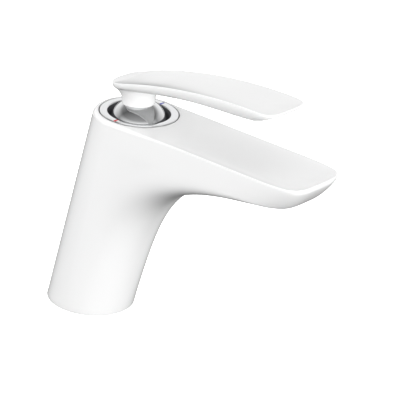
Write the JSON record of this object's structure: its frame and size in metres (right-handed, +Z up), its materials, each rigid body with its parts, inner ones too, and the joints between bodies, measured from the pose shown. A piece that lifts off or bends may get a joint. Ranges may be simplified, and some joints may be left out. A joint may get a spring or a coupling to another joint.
{
  "type": "basin mixer faucet",
  "caption": "Single-lever basin mixer with a leaning round column, a dished spout and an arched lever on a chrome ball joint.",
  "frame": {"origin": "centre of the base's underside, on the deck", "axes": "+X out along the spout, +Z up from the deck, hot side at -Y"},
  "size_m": [0.1677, 0.048, 0.1493],
  "materials": {
    "white_coat": "glossy white baked coat over cast brass",
    "chrome": "bright polished plating",
    "stainless_steel": "turned stainless steel",
    "brass": "machined brass",
    "black_rubber": "moulded seal rubber",
    "white_plastic": "moulded acetal",
    "dark_plastic": "glass-filled plastic",
    "disc_ceramic": "lapped alumina",
    "red_enamel": "red inlay",
    "blue_enamel": "blue inlay"
  },
  "bodies": {
    "mixer_body": {"aerator_housing": "chrome", "aerator_insert": "white_plastic", "aerator_seal": "black_rubber", "base_gasket": "black_rubber", "base_insert": "brass", "body": "white_coat", "cartridge_base": "dark_plastic", "cartridge_housing": "white_plastic", "cold_disc_seal": "black_rubber", "cold_inlet_seal": "black_rubber", "cold_mark": "blue_enamel", "cold_supply_tube": "stainless_steel", "fixed_disc": "disc_ceramic", "flow_limiter": "dark_plastic", "hot_disc_seal": "black_rubber", "hot_inlet_seal": "black_rubber", "hot_mark": "red_enamel", "hot_supply_tube": "stainless_steel", "housing_seal": "black_rubber", "limiter_ring": "dark_plastic", "outlet_disc_seal": "black_rubber", "retaining_nut": "brass", "trim_ring": "chrome", "trim_ring_seal": "black_rubber"},
    "mixing_bush": {"swivel_bush": "white_plastic", "stem_pin": "stainless_steel"},
    "handle": {"lever": "white_coat", "ball_cap": "chrome", "cartridge_stem": "stainless_steel", "lever_screw": "stainless_steel", "lever_screw_plug": "white_plastic"},
    "disc_slider": {"moving_disc": "disc_ceramic", "disc_carrier": "dark_plastic"}
  },
  "joints": [
    {"name": "temperature_swivel", "type": "hinge", "parent": "mixer_body", "child": "mixing_bush", "pos_m": [0.02342, 0, 0.1119], "axis": [0, 0, 1], "range_deg": [-45, 45]},
    {"name": "flow_lift", "type": "hinge", "parent": "mixing_bush", "child": "handle", "pos_m": [0.02342, 0, 0.1119], "axis": [0, -1, 0], "range_deg": [0, 22]},
    {"name": "disc_slide", "type": "slide", "parent": "mixing_bush", "child": "disc_slider", "axis": [1, 0, 0], "range_m": [0, 0.0055]}
  ],
  "couplings": [
    {"joint": "disc_slide", "follows": "flow_lift", "m_per_rad": 0.0139}
  ]
}
